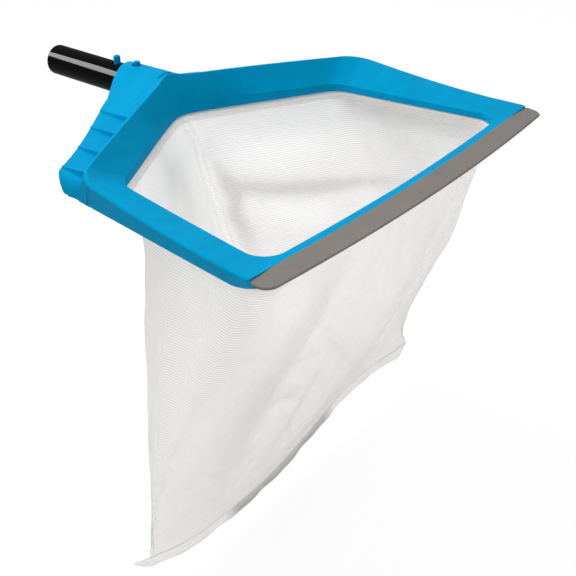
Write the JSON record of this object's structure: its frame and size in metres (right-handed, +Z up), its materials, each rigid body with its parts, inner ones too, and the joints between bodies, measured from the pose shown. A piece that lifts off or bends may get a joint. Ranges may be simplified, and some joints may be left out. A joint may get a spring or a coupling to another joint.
{
  "type": "leaf skimmer net",
  "caption": "Deep pool leaf net: five-sided moulded frame with a soft scraper lip, a net bag clamped under it and a tube stub with a push-button pole clip.",
  "frame": {"origin": "on the tube stub's axis, at its free end", "axes": "+Y along the tube towards the scraper lip, +Z up out of the bag's mouth, +X to the right seen from the handle"},
  "size_m": [0.4334, 0.4362, 0.3626],
  "materials": {
    "blue_plastic": "moulded polypropylene, fine satin",
    "grey_rubber": "soft matte elastomer",
    "screw_steel": "stainless",
    "black_tube": "smooth glossy black",
    "clip_plastic": "moulded acetal",
    "net_cloth": "fine knitted mesh, see-through",
    "hem_cloth": "woven white tape"
  },
  "bodies": {
    "net_head": {"rim_frame": "blue_plastic", "scraper_lip": "grey_rubber", "clamp_ring": "blue_plastic", "ring_screws": "screw_steel", "handle_tube": "black_tube", "clip_bend": "clip_plastic", "bag_front": "net_cloth", "bag_left_side": "net_cloth", "bag_right_side": "net_cloth", "bag_back_left": "net_cloth", "bag_back_right": "net_cloth", "bag_hem": "hem_cloth", "hem_cord": "hem_cloth", "back_seam_tape": "hem_cloth", "bottom_seam_tape": "hem_cloth"},
    "top_arm": {"top_button_arm": "clip_plastic"},
    "bottom_arm": {"bottom_button_arm": "clip_plastic"}
  },
  "joints": [
    {"name": "top_arm_press", "type": "hinge", "parent": "net_head", "child": "top_arm", "pos_m": [0, 0.13545, 0.00788], "axis": [1, 0, 0], "range_deg": [0, 8.2], "stiffness_Nm_per_rad": 4, "springref_deg": -2.86},
    {"name": "bottom_arm_press", "type": "hinge", "parent": "net_head", "child": "bottom_arm", "pos_m": [0, 0.13545, -0.00788], "axis": [-1, 0, 0], "range_deg": [0, 8.2], "stiffness_Nm_per_rad": 4, "springref_deg": -2.86}
  ]
}
